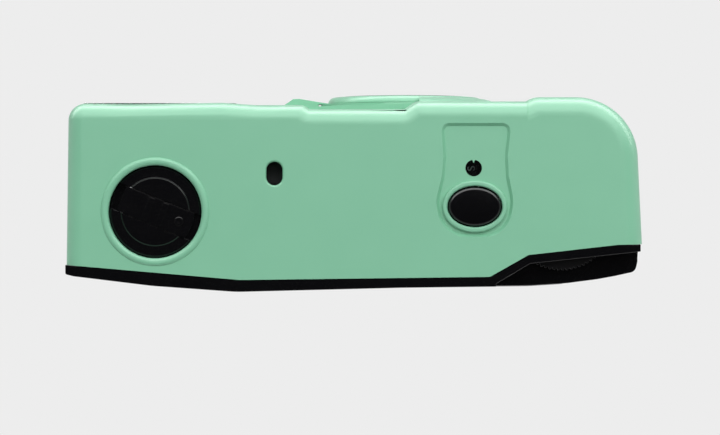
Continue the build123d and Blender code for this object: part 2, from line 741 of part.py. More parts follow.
def flash_ring():
    profile = [(RING_BORE_R, RING_Y1), (RING_R, RING_Y1)]
    for step in range(RING_EDGE_STEPS + 1):
        angle = math.radians(90 * step / RING_EDGE_STEPS)
        rise = RING_EDGE_R * (math.sin(angle) - 1)
        profile.append((RING_R - RING_EDGE_R * (1 - math.cos(angle)), RING_Y0 - rise))
    profile += [(RING_LIP_R, RING_Y0), (RING_LIP_R, -18.35), (RING_BORE_R, -18.35)]
    ring = turned_y(LENS_X, LENS_Z, profile)
    edge = LENS_X + RING_R
    tab = [
        (edge - 1.0, RING_Y1),
        (edge - 1.0, -17.65),
        (edge, -17.65),
        (edge + 5.8, -18.6),
        (edge + 7.0, -18.55),
        (edge + 9.3, -17.0),
        (edge + 9.3, -16.75),
        (edge + 1.9, -16.75),
        (edge + 1.9, RING_Y1),
    ]
    return ring + prism(tab, LENS_Z - 2.4, LENS_Z + 2.4)


# ---- finder and flash ---------------------------------------------------------------
def finder_tunnel():
    outer = frustum_y(-0.5, 54.9, (17.0, 8.4), -13.8, 56.2, (10.2, 5.8), 15.9)
    inner = frustum_y(-0.5, 54.9, (15.4, 6.8), -13.81, 56.2, (8.6, 4.2), 15.91)
    return outer - inner


def finder_front_lens():
    return block(-7.9, 6.9, -15.2, -14.0, 51.4, 58.2)


def finder_eyepiece():
    return block(-5.0, 4.0, 16.2, 17.9, 54.0, 58.5)


def counter_window():
    return post(COUNTER_WINDOW, COUNTER_WINDOW_R - RUNNING, TOP_Z - WALL + 0.1, TOP_Z - WALL + 0.5)


def flash_window():
    return block(22.8, 52.4, POD_Y, -15.3, 44.1, 55.9)


def flash_reflector():
    outer = block(24.6, 51.8, -15.15, -10.3, 44.4, 55.6)
    trough = frustum_y(38.2, 50.0, (26.2, 10.4), -15.2, 50.0, (25.0, 3.6), -10.7)
    return outer - trough


def flash_tube():
    return rod_x(-12.4, 50.0, 1.2, 26.4, 50.0)


def flash_capacitor():
    return post(CAPACITOR, CAPACITOR_R, 14.5, 42.5) + post(CAPACITOR, 0.5, 42.5, 43.8)


def circuit_board():
    board = block(25.2, 51.4, -14.3, -13.3, 5.0, 42.0)
    components = (
        (44.0, 12.0, 6.0, 5.0, 1.4),
        (45.0, 24.0, 4.0, 7.0, 1.8),
        (30.0, 34.0, 5.0, 4.0, 1.5),
        (40.0, 36.0, 7.0, 3.0, 1.2),
    )
    for x, z, width, height, depth in components:
        lower, upper = z - height / 2, z + height / 2
        board = board + block(x - width / 2, x + width / 2, -13.4, -13.3 + depth, lower, upper)
    return board


def trigger_transformer():
    core = block(29.0, 37.0, -13.25, -10.2, 10.0, 18.0)
    return core - block(28.0, 38.0, -13.3, -12.9, 12.0, 16.0)


def flash_switch_contacts():
    base = block(9.2, 12.0, -14.4, -12.8, 24.0, 34.0)
    return base + block(6.8, 9.3, -14.0, -13.7, 27.0, 29.0) + block(6.8, 9.3, -13.4, -13.1, 29.5, 31.5)


def ready_lamp():
    return rod_y(*READY_LAMP, 1.0, 13.6, 17.1)


def ready_lamp_lens():
    return rod_y(*READY_LAMP, 1.25, 17.15, 18.8)


# ---- battery ------------------------------------------------------------------------
def battery():
    can = post(BATTERY, BATTERY_R, BATTERY_Z0, BATTERY_Z1)
    return can + post(BATTERY, 1.9, BATTERY_Z1, BATTERY_Z1 + 0.8)


def battery_contact_plate():
    return post(BATTERY, 3.6, 48.0, 48.4) + block(17.0, 19.0, -12.8, -8.5, 48.0, 48.4)


def battery_contact_spring():
    profile = [(1.0, 3.3), (1.9, 3.3), (3.4, 1.8), (2.6, 1.8)]
    return turned_z(BATTERY, profile)


def battery_door():
    plate = block(10.0, 26.0, BATTERY_HINGE_Y, -2.0, 0.15, 1.75)
    barrel = rod_x(BATTERY_HINGE_Y, BATTERY_HINGE_Z, 0.8, 12.0, 24.0)
    door = plate + barrel
    for i in range(4):
        y = -6.6 + 0.9 * i
        door = door - block(14.0, 22.0, y - 0.15, y + 0.15, 0.0, 0.35)
    return door


def tripod_bush():
    bush = hexagon(TRIPOD, TRIPOD_BUSH_R, 0.1, TRIPOD_Z1)
    return bush - post(TRIPOD, TRIPOD_BORE_R, 0.0, TRIPOD_Z1 - 1.0)


# ---- rewind -------------------------------------------------------------------------
def rewind_sleeve():
    sleeve = post(REWIND, 5.4, LEFT_ROOF_Z, LEFT_ROOF_Z + 1.8)
    sleeve = sleeve + post(REWIND, REWIND_SHAFT_R + 1.0, 52.8, LEFT_ROOF_Z)
    return sleeve - post(REWIND, REWIND_SHAFT_R + RUNNING, 50, 60)


def rewind_washer():
    return post(REWIND, 6.2, 57.4, 58.2) - post(REWIND, REWIND_SHAFT_R + RUNNING, 50, 60)


def rewind_knob():
    profile = [
        (0, KNOB_Z0), (KNOB_R, KNOB_Z0), (KNOB_R, KNOB_SHOULDER_Z - 0.3), (KNOB_R - 0.3, KNOB_SHOULDER_Z),
        (KNOB_STEP_R + 0.25, KNOB_SHOULDER_Z), (KNOB_STEP_R, KNOB_Z1), (0, KNOB_Z1),
    ]
    knob = turned_z(REWIND, profile)
    knob = knob - crank_bar(-12.0, 12.0, CRANK_WIDTH + 0.3, CRANK_Z0, KNOB_Z1 + 1)
    knob = knob - crank_bar(4.6, 12.0, CRANK_WIDTH + 0.3, KNOB_Z0 + 0.4, KNOB_Z1 + 1)
    knob = knob - post(along_crank(-HANDLE_REACH), HANDLE_R + 0.35, CRANK_Z0 - 0.75, KNOB_Z1 + 1)
    return knob - crank_axle(CRANK_PIN_R, 7.2)


def rewind_fork():
    shaft = post(REWIND, REWIND_SHAFT_R, 44.6, KNOB_Z0)
    return shaft - block(REWIND[0] - 1.1, REWIND[0] + 1.1, -10, 20, 44.0, 48.4)


def crank_axle(radius, length):
    """Cylinder on the crank's pivot axis, across the crank."""
    x, y = along_crank(CRANK_PIVOT)
    turn = 180.0 - CRANK_ANGLE + 90.0
    return Pos(x, y, CRANK_PIN_Z) * Rot(0, 0, turn) * Rot(0, 90, 0) * Cylinder(radius, length)


def crank_pin():
    return crank_axle(CRANK_PIN_R, 7.1)


def rewind_crank():
    arm = crank_bar(-8.0, CRANK_HEEL, CRANK_WIDTH, CRANK_Z0 + 0.1, CRANK_Z1)
    arm = arm & post(REWIND, CRANK_TIP_R, 50, 70)
    for reach in CRANK_RIBS:
        arm = arm + crank_bar(reach - 0.55, reach + 0.55, CRANK_WIDTH - 0.5, CRANK_Z1 - 0.1, CRANK_Z1 + 0.2)
    arm = arm - post(along_crank(-HANDLE_REACH), HANDLE_STEM_R + RUNNING, 58, 62)
    return arm - crank_axle(CRANK_PIN_R + RUNNING, 12.0)


def crank_handle():
    spot = along_crank(-HANDLE_REACH)
    foot = post(spot, HANDLE_R, CRANK_Z0 - 0.6, CRANK_Z0 + 0.05)
    return foot + post(spot, HANDLE_STEM_R, CRANK_Z0, CRANK_Z1 + 0.05)


# ---- film transport -----------------------------------------------------------------
def advance_wheel():
    serrations = toothed_plan(WHEEL_R, WHEEL_R - SERRATION, WHEEL_TEETH, 0.3)
    teeth = toothed_plan(RATCHET_R, RATCHET_R - 0.7, RATCHET_TEETH, 0.05)
    wheel = prism(serrations, RATCHET_Z, WHEEL_Z1) + prism(teeth, WHEEL_Z0, RATCHET_Z)
    return Pos(*TAKE_UP, 0) * wheel - post(TAKE_UP, SPINDLE_R, 50, 60)


def take_up_spool():
    spool = post(TAKE_UP, SPOOL_R, FLOOR_Z + 0.2, 52.3)
    spool = spool + post(TAKE_UP, SPINDLE_R, CHASSIS_Z0 + 0.1, WHEEL_Z1)
    spool = spool - block(TAKE_UP[0] - 0.6, TAKE_UP[0] + 0.6, TAKE_UP[1] + 1.5, 20, 14.0, 44.0)
    return spool


def film_sprocket():
    drum = post(SPROCKET, 4.4, FLOOR_Z + 0.2, 48.6) + post(SPROCKET, STEM_R, FLOOR_Z - 0.4, 52.0)
    for side in (-1, 1):
        z = FILM_Z + side * PERFORATION_Z
        drum = drum + post(SPROCKET, SPROCKET_R, z - 2.4, z + 2.4)
        crown = toothed_plan(TOOTH_R, SPROCKET_R - 0.3, SPROCKET_TEETH, 0.04)
        drum = drum + Pos(*SPROCKET, 0) * prism(crown, z - 0.9, z + 0.9)
    return drum


def film_roller():
    roller = post(ROLLER, ROLLER_R - 0.6, 8.2, 48.8) + post(ROLLER, 1.2, 5.2, DRIVE_Z + 0.8)
    for side in (-1, 1):
        z = FILM_Z + side * PERFORATION_Z
        roller = roller + post(ROLLER, ROLLER_R, z - 2.4, z + 2.4)
    gap = math.dist(ROLLER, INDICATOR)
    return roller + post(ROLLER, gap - INDICATOR_R - 0.05, DRIVE_Z, DRIVE_Z + 0.8)


def indicator_wheel():
    disc = post(INDICATOR, INDICATOR_R, DRIVE_Z, DRIVE_Z + 0.8)
    return disc - post(INDICATOR, DISC_POST_R + RUNNING, 50, 60)


def counter_disc():
    disc = post(COUNTER, COUNTER_R, COUNTER_Z, COUNTER_Z + 0.8)
    return disc - post(COUNTER, DISC_POST_R + RUNNING, 50, 60)


def pawl():
    px, py = PAWL_PIVOT
    angle = math.radians(208.0)
    reach = RATCHET_R + 0.15
    tip = (TAKE_UP[0] + reach * math.cos(angle), TAKE_UP[1] + reach * math.sin(angle))
    plan = [(px - 0.9, py), (px + 0.9, py), (tip[0] - 0.1, tip[1] - 0.6), (tip[0] - 0.9, tip[1])]
    bar = prism(plan, RIGHT_ROOF_Z + 0.1, 55.0)
    hub = post(PAWL_PIVOT, 1.5, RIGHT_ROOF_Z + 0.1, 55.0)
    return bar + hub - post(PAWL_PIVOT, PAWL_PIVOT_R + RUNNING, 50, 60)


def shutter_button():
    cap = oval(BUTTON, BUTTON_SIZE, BUTTON_Z0, BUTTON_Z1)
    rim = [e for e in cap.edges() if abs(e.center().Z - BUTTON_Z1) < 0.01]
    cap = fillet(rim, 0.6)
    return cap + post(BUTTON, STEM_R, STEM_Z0, BUTTON_Z0 + 0.1)


def rewind_release_button():
    return post(SPROCKET, 2.5, 0.2, 2.0)


PARTS = {
    "front_shell": front_shell,
    "chassis": chassis,
    "rear_frame": rear_frame,
    "back_door": back_door,
    "hinge_pin": hinge_pin,
    "pressure_plate": pressure_plate,
    "pressure_spring": pressure_spring,
    "cassette_spring": cassette_spring,
    "door_light_seal": door_light_seal,
    "door_latch": door_latch,
    "latch_spring": latch_spring,
    "lens_barrel": lens_barrel,
    "front_lens": front_lens,
    "rear_lens": rear_lens,
    "lens_retainer": lens_retainer,
    "aperture_plate": aperture_plate,
    "shutter_plate": shutter_plate,
    "shutter_cover": shutter_cover,
    "shutter_blade": shutter_blade,
    "shutter_spring": shutter_spring,
    "release_lever": release_lever,
    "lever_pin": lever_pin,
    "lever_spring": lever_spring,
    "flash_ring": flash_ring,
    "finder_tunnel": finder_tunnel,
    "finder_front_lens": finder_front_lens,
    "finder_eyepiece": finder_eyepiece,
    "counter_window": counter_window,
    "flash_window": flash_window,
    "flash_reflector": flash_reflector,
    "flash_tube": flash_tube,
    "flash_capacitor": flash_capacitor,
    "circuit_board": circuit_board,
    "trigger_transformer": trigger_transformer,
    "flash_switch_contacts": flash_switch_contacts,
    "ready_lamp": ready_lamp,
    "ready_lamp_lens": ready_lamp_lens,
    "battery": battery,
    "battery_contact_plate": battery_contact_plate,
    "battery_contact_spring": battery_contact_spring,
    "battery_door": battery_door,
    "tripod_bush": tripod_bush,
    "rewind_sleeve": rewind_sleeve,
    "rewind_washer": rewind_washer,
    "rewind_knob": rewind_knob,
    "rewind_fork": rewind_fork,
    "crank_pin": crank_pin,
    "rewind_crank": rewind_crank,
    "crank_handle": crank_handle,
    "advance_wheel": advance_wheel,
    "take_up_spool": take_up_spool,
    "film_sprocket": film_sprocket,
    "film_roller": film_roller,
    "indicator_wheel": indicator_wheel,
    "counter_disc": counter_disc,
    "pawl": pawl,
    "shutter_button": shutter_button,
    "rewind_release_button": rewind_release_button,
    "shell_screws": lambda: screws(SHELL_SCREWS, shell_screw),
    "chassis_screws": lambda: screws(CHASSIS_SCREWS, chassis_screw),
}

os.makedirs("parts", exist_ok=True)
for name, make in PARTS.items():
    export_step(make(), f"parts/{name}.step")
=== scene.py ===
import json
import math
import bmesh
import bpy
from mathutils import Matrix, Vector
from mathutils.bvhtree import BVHTree

# Looks of the half frame camera. Metres, +Z up, the lens looks along -Y and the shutter
# button is on the -X side. Pieces are placed by the boxes of the CAD nodes. The steps inside
# the lens barrel are the exception: they are named values of its own section.
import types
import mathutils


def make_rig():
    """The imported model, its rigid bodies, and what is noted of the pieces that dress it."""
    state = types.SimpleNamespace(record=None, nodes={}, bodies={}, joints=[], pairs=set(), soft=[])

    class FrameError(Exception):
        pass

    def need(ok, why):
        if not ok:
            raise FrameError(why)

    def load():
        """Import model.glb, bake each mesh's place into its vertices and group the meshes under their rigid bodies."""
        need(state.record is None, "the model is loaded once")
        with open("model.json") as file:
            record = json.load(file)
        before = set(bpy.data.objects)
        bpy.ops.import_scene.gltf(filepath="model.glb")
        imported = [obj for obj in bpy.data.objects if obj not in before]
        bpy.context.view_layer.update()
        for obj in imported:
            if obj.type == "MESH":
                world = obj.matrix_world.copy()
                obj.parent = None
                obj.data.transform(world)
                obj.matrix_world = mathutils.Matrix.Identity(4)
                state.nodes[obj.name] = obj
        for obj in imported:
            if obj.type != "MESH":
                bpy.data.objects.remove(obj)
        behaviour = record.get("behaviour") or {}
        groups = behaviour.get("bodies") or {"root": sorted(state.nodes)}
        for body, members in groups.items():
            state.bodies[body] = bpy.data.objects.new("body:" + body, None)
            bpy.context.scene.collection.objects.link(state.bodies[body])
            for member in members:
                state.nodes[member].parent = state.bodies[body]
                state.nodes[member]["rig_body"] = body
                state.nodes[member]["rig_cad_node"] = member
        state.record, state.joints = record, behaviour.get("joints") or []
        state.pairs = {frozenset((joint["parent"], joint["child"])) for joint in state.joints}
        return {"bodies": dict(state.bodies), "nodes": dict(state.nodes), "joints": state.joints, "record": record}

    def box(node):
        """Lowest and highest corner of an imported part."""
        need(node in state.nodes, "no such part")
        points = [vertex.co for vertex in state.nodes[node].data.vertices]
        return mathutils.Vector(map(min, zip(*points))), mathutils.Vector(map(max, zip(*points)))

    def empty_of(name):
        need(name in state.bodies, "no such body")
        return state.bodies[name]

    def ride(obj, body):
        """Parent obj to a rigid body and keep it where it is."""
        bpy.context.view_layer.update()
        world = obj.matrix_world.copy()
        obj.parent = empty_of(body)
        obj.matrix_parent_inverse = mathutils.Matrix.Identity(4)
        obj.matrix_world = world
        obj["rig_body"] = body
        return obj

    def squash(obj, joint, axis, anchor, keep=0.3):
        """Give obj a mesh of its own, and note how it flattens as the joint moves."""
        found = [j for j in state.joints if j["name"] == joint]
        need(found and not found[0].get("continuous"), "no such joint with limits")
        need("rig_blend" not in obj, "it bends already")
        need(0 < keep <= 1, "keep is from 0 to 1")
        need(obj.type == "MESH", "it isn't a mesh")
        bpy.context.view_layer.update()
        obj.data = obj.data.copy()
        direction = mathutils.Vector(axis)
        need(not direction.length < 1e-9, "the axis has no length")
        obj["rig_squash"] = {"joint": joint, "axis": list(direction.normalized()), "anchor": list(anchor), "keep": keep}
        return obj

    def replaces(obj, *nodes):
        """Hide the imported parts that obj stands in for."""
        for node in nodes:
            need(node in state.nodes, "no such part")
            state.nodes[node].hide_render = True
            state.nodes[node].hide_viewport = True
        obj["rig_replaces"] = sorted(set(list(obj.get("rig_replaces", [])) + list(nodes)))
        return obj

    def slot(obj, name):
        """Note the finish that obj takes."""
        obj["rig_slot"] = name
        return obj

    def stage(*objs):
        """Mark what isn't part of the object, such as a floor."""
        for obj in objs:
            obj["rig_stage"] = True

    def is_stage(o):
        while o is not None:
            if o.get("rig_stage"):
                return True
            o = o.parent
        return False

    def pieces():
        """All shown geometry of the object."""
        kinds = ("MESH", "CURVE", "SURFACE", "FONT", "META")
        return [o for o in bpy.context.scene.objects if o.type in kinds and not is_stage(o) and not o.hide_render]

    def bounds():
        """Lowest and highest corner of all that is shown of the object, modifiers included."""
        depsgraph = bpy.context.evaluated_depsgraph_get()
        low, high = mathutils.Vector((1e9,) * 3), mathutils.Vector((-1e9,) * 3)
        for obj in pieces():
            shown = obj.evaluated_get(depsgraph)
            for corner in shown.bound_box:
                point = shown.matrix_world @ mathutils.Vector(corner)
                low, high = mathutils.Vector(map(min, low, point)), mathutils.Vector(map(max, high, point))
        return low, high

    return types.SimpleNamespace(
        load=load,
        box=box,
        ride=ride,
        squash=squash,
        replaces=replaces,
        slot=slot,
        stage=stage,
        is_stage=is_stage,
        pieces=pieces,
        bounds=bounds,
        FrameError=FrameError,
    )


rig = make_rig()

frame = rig.load()
CAD_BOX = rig.bounds()
RECORD = frame["record"]
BODY_OF = {node: body for body, nodes in RECORD["behaviour"]["bodies"].items() for node in nodes}
SLOT_OF = {part["node"]: part["material_slot"] for part in RECORD["subparts"]}

MM = 0.001
LOW, HIGH = CAD_BOX

# ---- studio -------------------------------------------------------------------------
VIEW_WIDTH = 138.2 * MM
CAMERA_HEIGHT = 600 * MM
CAMERA_CENTRE = (-1.25 * MM, 5.3 * MM)
SENSOR = 36.0
FLOOR_TONE = 0.8469
FRONT_STRIP_LIGHT = 8.0
FRONT_CARD_LIGHT = 3.4
REAR_STRIP_LIGHT = 2.2
TOP_LIGHT = 2.95
STRIP_DISTANCE = 120 * MM
STRIP_LENGTH = 1.0
CARD_PLACE = (0, -0.35, 0.26)
CARD_SIZE = (1.0, 0.42)
SOFTBOX_PLACE = (-0.15, -0.5, 1.08)
SOFTBOX_SIZE = (1.6, 1.2)
FLOOR_HALF_SIDE = 3.0
FLOOR_GAP = 0.05 * MM

# ---- lens barrel section, along Y -----------------------------------------------------
BARREL_R = 13.4 * MM
BARREL_BORE_R = 12.2 * MM
FLANGE_R = 14.0 * MM
FLANGE_FRONT = -14.7 * MM
FLANGE_BACK = -13.9 * MM
TAIL_R = 8.2 * MM
THROAT_R = 4.1 * MM
LENS_SEAT_R = 5.1 * MM
LENS_SEAT_BACK = -11.95 * MM
LENS_SEAT_FRONT = -15.4 * MM
HOOD_MOUTH_R = 11.0 * MM
HOOD_DEPTH = 2.8 * MM
HOOD_STEPS = 9


# ---- node trees ---------------------------------------------------------------------
def new_material(name):
    """Material with its node tree, links and main shader."""
    material = bpy.data.materials.new(name)
    material.use_nodes = True
    tree = material.node_tree
    return material, tree, tree.nodes["Principled BSDF"]


def object_coordinates(tree, scale=(1.0, 1.0, 1.0)):
    """Coordinates in the piece's own frame, in metres, stretched by a scale."""
    source = tree.nodes.new("ShaderNodeTexCoord")
    mapping = tree.nodes.new("ShaderNodeMapping")
    mapping.inputs["Scale"].default_value = scale
    tree.links.new(source.outputs["Object"], mapping.inputs["Vector"])
    return mapping.outputs["Vector"]


def noise(tree, vector, size, detail=3.0, roughness=0.5):
    """Noise whose blotches are about one size wide, in metres."""
    node = tree.nodes.new("ShaderNodeTexNoise")
    node.inputs["Scale"].default_value = 1.0 / size
    node.inputs["Detail"].default_value = detail
    node.inputs["Roughness"].default_value = roughness
    tree.links.new(vector, node.inputs["Vector"])
    return node.outputs["Fac"]


def spread(tree, value, low, high, start=0.3, end=0.7):
    """Maps a value between start and end to the range from low to high."""
    node = tree.nodes.new("ShaderNodeMapRange")
    node.inputs["From Min"].default_value = start
    node.inputs["From Max"].default_value = end
    node.inputs["To Min"].default_value = low
    node.inputs["To Max"].default_value = high
    tree.links.new(value, node.inputs["Value"])
    return node.outputs["Result"]


def mixed_colour(tree, factor, first, second):
    """Blend of two colours by a factor."""
    node = tree.nodes.new("ShaderNodeMix")
    node.data_type = "RGBA"
    tree.links.new(factor, node.inputs["Factor"])
    for socket, colour in ((node.inputs["A"], first), (node.inputs["B"], second)):
        if isinstance(colour, tuple):
            socket.default_value = (*colour, 1.0)
        else:
            tree.links.new(colour, socket)
    return node.outputs["Result"]


def add_bump(tree, shader, height, depth, strength=1.0):
    """Bump of a depth in metres on the shader's normal, on top of any earlier bump."""
    node = tree.nodes.new("ShaderNodeBump")
    node.inputs["Strength"].default_value = strength
    node.inputs["Distance"].default_value = depth
    tree.links.new(height, node.inputs["Height"])
    if shader.inputs["Normal"].is_linked:
        tree.links.new(shader.inputs["Normal"].links[0].from_socket, node.inputs["Normal"])
    tree.links.new(node.outputs["Normal"], shader.inputs["Normal"])


def shade(colour, factor):
    return tuple(channel * factor for channel in colour)


# ---- materials ----------------------------------------------------------------------
def plastic(name, colour, gloss, grain, grain_depth, variation=0.05, specular=0.5):
    """Moulded plastic: slight colour drift, handling marks in the gloss, and a moulded grain."""
    material, tree, shader = new_material(name)
    place = object_coordinates(tree)
    drift = noise(tree, place, 9 * MM)
    tone = mixed_colour(tree, drift, shade(colour, 1 - variation), shade(colour, 1 + variation))
    tree.links.new(tone, shader.inputs["Base Color"])
    marks = noise(tree, place, 3.5 * MM, detail=6.0, roughness=0.65)
    tree.links.new(spread(tree, marks, gloss[0], gloss[1]), shader.inputs["Roughness"])
    shader.inputs["Specular IOR Level"].default_value = specular
    add_bump(tree, shader, noise(tree, place, grain, detail=2.0), grain_depth)
    return material


def metal(name, colour, gloss, brush_axis=0, brush_depth=0.004 * MM):
    """Metal with brushing along an axis, tarnish and small scratches."""
    material, tree, shader = new_material(name)
    scale = [1.0, 1.0, 1.0]
    scale[brush_axis] = 0.04
    brushed = noise(tree, object_coordinates(tree, tuple(scale)), 0.12 * MM, detail=4.0)
    blotches = noise(tree, object_coordinates(tree), 4 * MM, detail=5.0)
    tone = mixed_colour(tree, blotches, shade(colour, 0.86), shade(colour, 1.08))
    tree.links.new(tone, shader.inputs["Base Color"])
    shader.inputs["Metallic"].default_value = 1.0
    tree.links.new(spread(tree, brushed, gloss[0], gloss[1]), shader.inputs["Roughness"])
    add_bump(tree, shader, brushed, brush_depth)
    return material


def clear(name, tint, roughness, ior=1.49):
    """Clear plastic or glass with faint surface marks."""
    material, tree, shader = new_material(name)
    shader.inputs["Base Color"].default_value = (*tint, 1.0)
    shader.inputs["Transmission Weight"].default_value = 1.0
    shader.inputs["IOR"].default_value = ior
    place = object_coordinates(tree)
    marks = noise(tree, place, 2.5 * MM, detail=6.0)
    tree.links.new(spread(tree, marks, roughness, roughness + 0.05), shader.inputs["Roughness"])
    add_bump(tree, shader, noise(tree, place, 1.8 * MM), 0.002 * MM)
    return material


def mint_plastic():
    """Glossy pale green moulding with a faint flow pattern and fine dust."""
    material, tree, shader = new_material("mint_plastic")
    place = object_coordinates(tree)
    colour = (0.203, 0.496, 0.324)
    flow = noise(tree, object_coordinates(tree, (0.35, 1.0, 1.0)), 14 * MM, detail=2.0)
    tone = mixed_colour(tree, flow, shade(colour, 0.975), shade(colour, 1.025))
    specks = spread(tree, noise(tree, place, 0.16 * MM, detail=1.0), 0.0, 0.35, 0.74, 0.8)
    tone = mixed_colour(tree, specks, tone, shade(colour, 1.35))
    tree.links.new(tone, shader.inputs["Base Color"])
    marks = noise(tree, place, 5 * MM, detail=6.0, roughness=0.6)
    tree.links.new(spread(tree, marks, 0.3, 0.39), shader.inputs["Roughness"])
    add_bump(tree, shader, noise(tree, place, 2.2 * MM, detail=1.0), 0.004 * MM)
    add_bump(tree, shader, noise(tree, place, 0.11 * MM, detail=2.0), 0.0007 * MM)
    return material


def leatherette():
    """Black grained covering: irregular cells with fine creases."""
    material, tree, shader = new_material("leatherette")
    place = object_coordinates(tree)
    cells = tree.nodes.new("ShaderNodeTexVoronoi")
    cells.feature = "SMOOTH_F1"
    cells.inputs["Scale"].default_value = 1.0 / (0.9 * MM)
    tree.links.new(place, cells.inputs["Vector"])
    creases = noise(tree, place, 0.22 * MM, detail=4.0)
    tone = mixed_colour(tree, cells.outputs["Distance"], (0.010, 0.010, 0.011), (0.022, 0.022, 0.024))
    tree.links.new(tone, shader.inputs["Base Color"])
    tree.links.new(spread(tree, creases, 0.42, 0.6), shader.inputs["Roughness"])
    add_bump(tree, shader, cells.outputs["Distance"], 0.12 * MM)
    add_bump(tree, shader, creases, 0.015 * MM)
    return material


def circuit_green():
    """Solder mask over faint copper tracks."""
    material, tree, shader = new_material("board_green")
    tracks = tree.nodes.new("ShaderNodeTexBrick")
    tracks.inputs["Scale"].default_value = 1.0 / (9 * MM)
    tracks.inputs["Mortar Size"].default_value = 0.03
    tracks.inputs["Color1"].default_value = (0.012, 0.10, 0.045, 1)
    tracks.inputs["Color2"].default_value = (0.016, 0.12, 0.05, 1)
    tracks.inputs["Mortar"].default_value = (0.05, 0.22, 0.08, 1)
    turned = object_coordinates(tree)
    turned.node.inputs["Rotation"].default_value = (math.radians(90), 0, 0)
    tree.links.new(turned, tracks.inputs["Vector"])
    tree.links.new(tracks.outputs["Color"], shader.inputs["Base Color"])
    shader.inputs["Roughness"].default_value = 0.35
    add_bump(tree, shader, tracks.outputs["Fac"], 0.03 * MM)
    return material


def battery_sleeve():
    """Printed battery sleeve: dark body with a warm band near the top."""
    material, tree, shader = new_material("battery_sleeve")
    split = tree.nodes.new("ShaderNodeSeparateXYZ")
    tree.links.new(object_coordinates(tree), split.inputs["Vector"])
    low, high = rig.box("battery")
    band_start = low.z + 0.72 * (high.z - low.z)
    band = spread(tree, split.outputs["Z"], 0.0, 1.0, band_start, band_start + 0.2 * MM)
    tone = mixed_colour(tree, band, (0.03, 0.03, 0.035), (0.55, 0.24, 0.05))
    tree.links.new(tone, shader.inputs["Base Color"])
    shader.inputs["Metallic"].default_value = 0.3
    marks = noise(tree, object_coordinates(tree), 2 * MM, detail=5.0)
    tree.links.new(spread(tree, marks, 0.22, 0.4), shader.inputs["Roughness"])
    return material


def coated_glass():
    """Lens glass with a coating whose tint shows at glancing angles."""
    material, tree, shader = new_material("lens_glass")
    shader.inputs["Base Color"].default_value = (0.93, 0.97, 1.0, 1)
    shader.inputs["Transmission Weight"].default_value = 1.0
    shader.inputs["IOR"].default_value = 1.52
    facing = tree.nodes.new("ShaderNodeLayerWeight")
    facing.inputs["Blend"].default_value = 0.35
    tint = mixed_colour(tree, facing.outputs["Facing"], (0.62, 0.5, 1.0), (0.35, 0.9, 0.75))
    tree.links.new(tint, shader.inputs["Specular Tint"])
    marks = noise(tree, object_coordinates(tree), 1.5 * MM, detail=5.0)
    tree.links.new(spread(tree, marks, 0.0, 0.03), shader.inputs["Roughness"])
    return material


def foam():
    """Light-seal foam: open cells, no gloss."""
    material, tree, shader = new_material("seal_foam")
    place = object_coordinates(tree)
    pores = noise(tree, place, 0.25 * MM, detail=5.0, roughness=0.7)
    tone = mixed_colour(tree, pores, (0.006, 0.006, 0.006), (0.03, 0.03, 0.03))
    tree.links.new(tone, shader.inputs["Base Color"])
    shader.inputs["Roughness"].default_value = 0.95
    add_bump(tree, shader, pores, 0.2 * MM)
    return material


def pale_print():
    """Pale printing ink."""
    return plastic("pale_print", (0.62, 0.66, 0.64), (0.45, 0.6), 0.1 * MM, 0.004 * MM)


MATERIALS = {
    "mint_plastic": mint_plastic(),
    "black_gloss": plastic(
        "black_gloss", (0.0024, 0.0024, 0.003), (0.14, 0.22), 0.5 * MM, 0.001 * MM),
    "black_matte": plastic(
        "black_matte", (0.005, 0.005, 0.0055), (0.5, 0.64), 0.14 * MM, 0.012 * MM, specular=0.25),
    "black_metal": plastic(
        "black_metal", (0.012, 0.012, 0.013), (0.38, 0.5), 0.08 * MM, 0.003 * MM),
    "steel": metal("steel", (0.56, 0.56, 0.57), (0.22, 0.38)),
    "spring_steel": metal("spring_steel", (0.42, 0.42, 0.44), (0.25, 0.4), brush_axis=1),
    "bright_aluminium": metal("bright_aluminium", (0.86, 0.86, 0.87), (0.08, 0.18)),
    "brass": metal("brass", (0.68, 0.5, 0.22), (0.2, 0.36), brush_axis=2),
    "seal_foam": foam(),
    "lens_glass": coated_glass(),
    "clear_plastic": clear("clear_plastic", (0.9, 0.93, 0.94), 0.02),
    "capacitor_sleeve": plastic(
        "capacitor_sleeve", (0.012, 0.02, 0.05), (0.25, 0.38), 0.8 * MM, 0.01 * MM),
    "board_green": circuit_green(),
    "ferrite": plastic("ferrite", (0.06, 0.045, 0.035), (0.5, 0.7), 0.15 * MM, 0.02 * MM),
    "lamp_orange": clear("lamp_orange", (0.95, 0.32, 0.05), 0.06),
    "battery_sleeve": battery_sleeve(),
    "indicator_black": plastic(
        "indicator_black", (0.006, 0.006, 0.007), (0.4, 0.55), 0.12 * MM, 0.006 * MM),
}
LEATHERETTE = leatherette()
PALE_PRINT = pale_print()


# ---- mesh helpers -------------------------------------------------------------------
def add_object(name, mesh, node, material=None):
    """Object from a mesh, riding on a node's body with the node's finish."""
    obj = bpy.data.objects.new(name, mesh)
    bpy.context.collection.objects.link(obj)
    mesh.materials.clear()
    mesh.materials.append(material or MATERIALS[SLOT_OF[node]])
    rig.ride(obj, BODY_OF[node])
    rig.slot(obj, SLOT_OF[node])
    return obj


def soften(obj, width, segments=2, angle=34.0):
    """Rounds the sharp edges and keeps the flat faces flat in shading."""
    for polygon in obj.data.polygons:
        polygon.use_smooth = True
    if width:
        bevel = obj.modifiers.new("edges", "BEVEL")
        bevel.width = width
        bevel.segments = segments
        bevel.limit_method = "ANGLE"
        bevel.angle_limit = math.radians(angle)
        bevel.use_clamp_overlap = True
        bevel.miter_outer = "MITER_ARC"
    normals = obj.modifiers.new("normals", "WEIGHTED_NORMAL")
    normals.weight = 50
    normals.keep_sharp = True
    return obj


